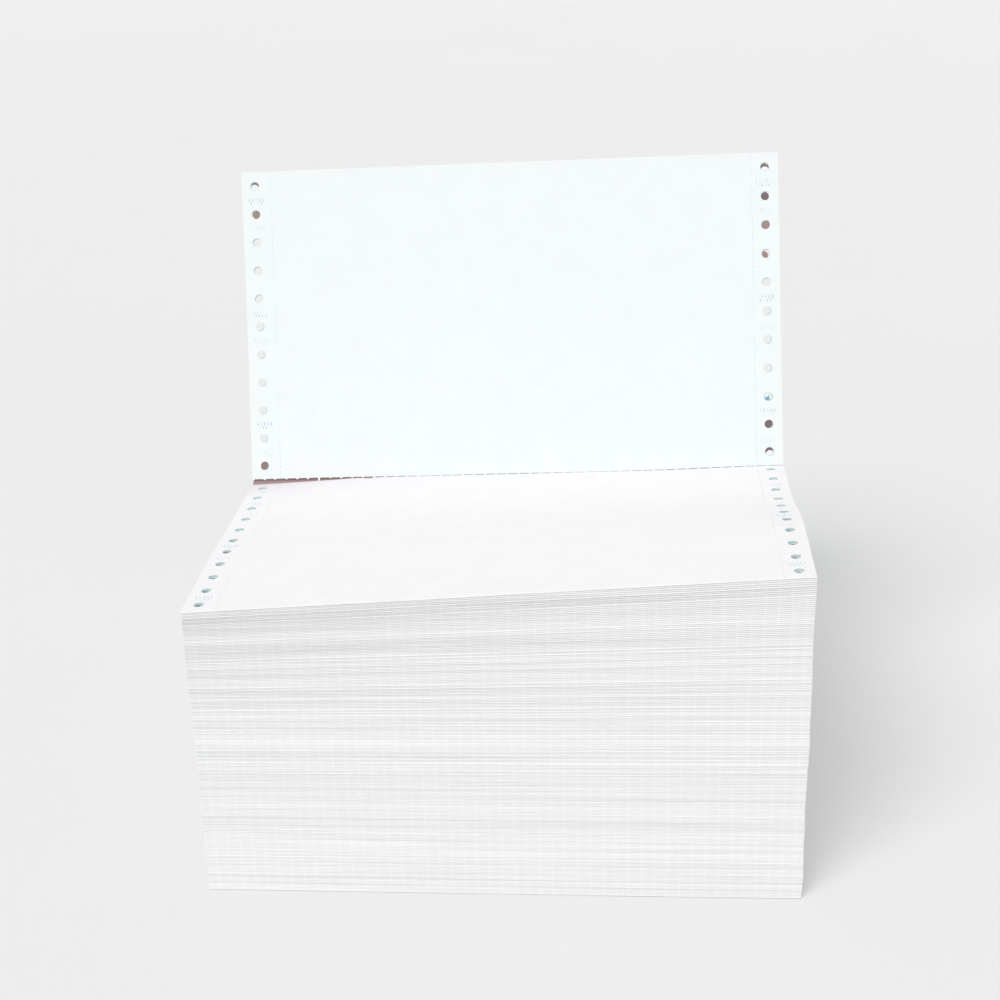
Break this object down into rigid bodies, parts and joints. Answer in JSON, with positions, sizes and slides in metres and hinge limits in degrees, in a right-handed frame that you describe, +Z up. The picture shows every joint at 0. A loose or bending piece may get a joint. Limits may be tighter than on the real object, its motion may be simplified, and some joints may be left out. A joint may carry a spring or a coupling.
{
  "type": "stack of continuous form paper",
  "caption": "Fan-folded stack of multi-ply continuous form paper with feed holes along both edges and its free first form bent upright at a cross perforation.",
  "frame": {"origin": "middle of the flat bottom of the folded stack, halfway between its side edges and its fold ends", "axes": "+Z up through the stack, +X along the folds to the reader's right, +Y from the front folds to the back folds, along the web"},
  "size_m": [0.2446, 0.2794, 0.2644],
  "materials": {
    "paper": "uncoated white top ply over pink, yellow, green and blue plies, matte"
  },
  "bodies": {
    "root": {"folded_web": "paper"}
  },
  "joints": []
}
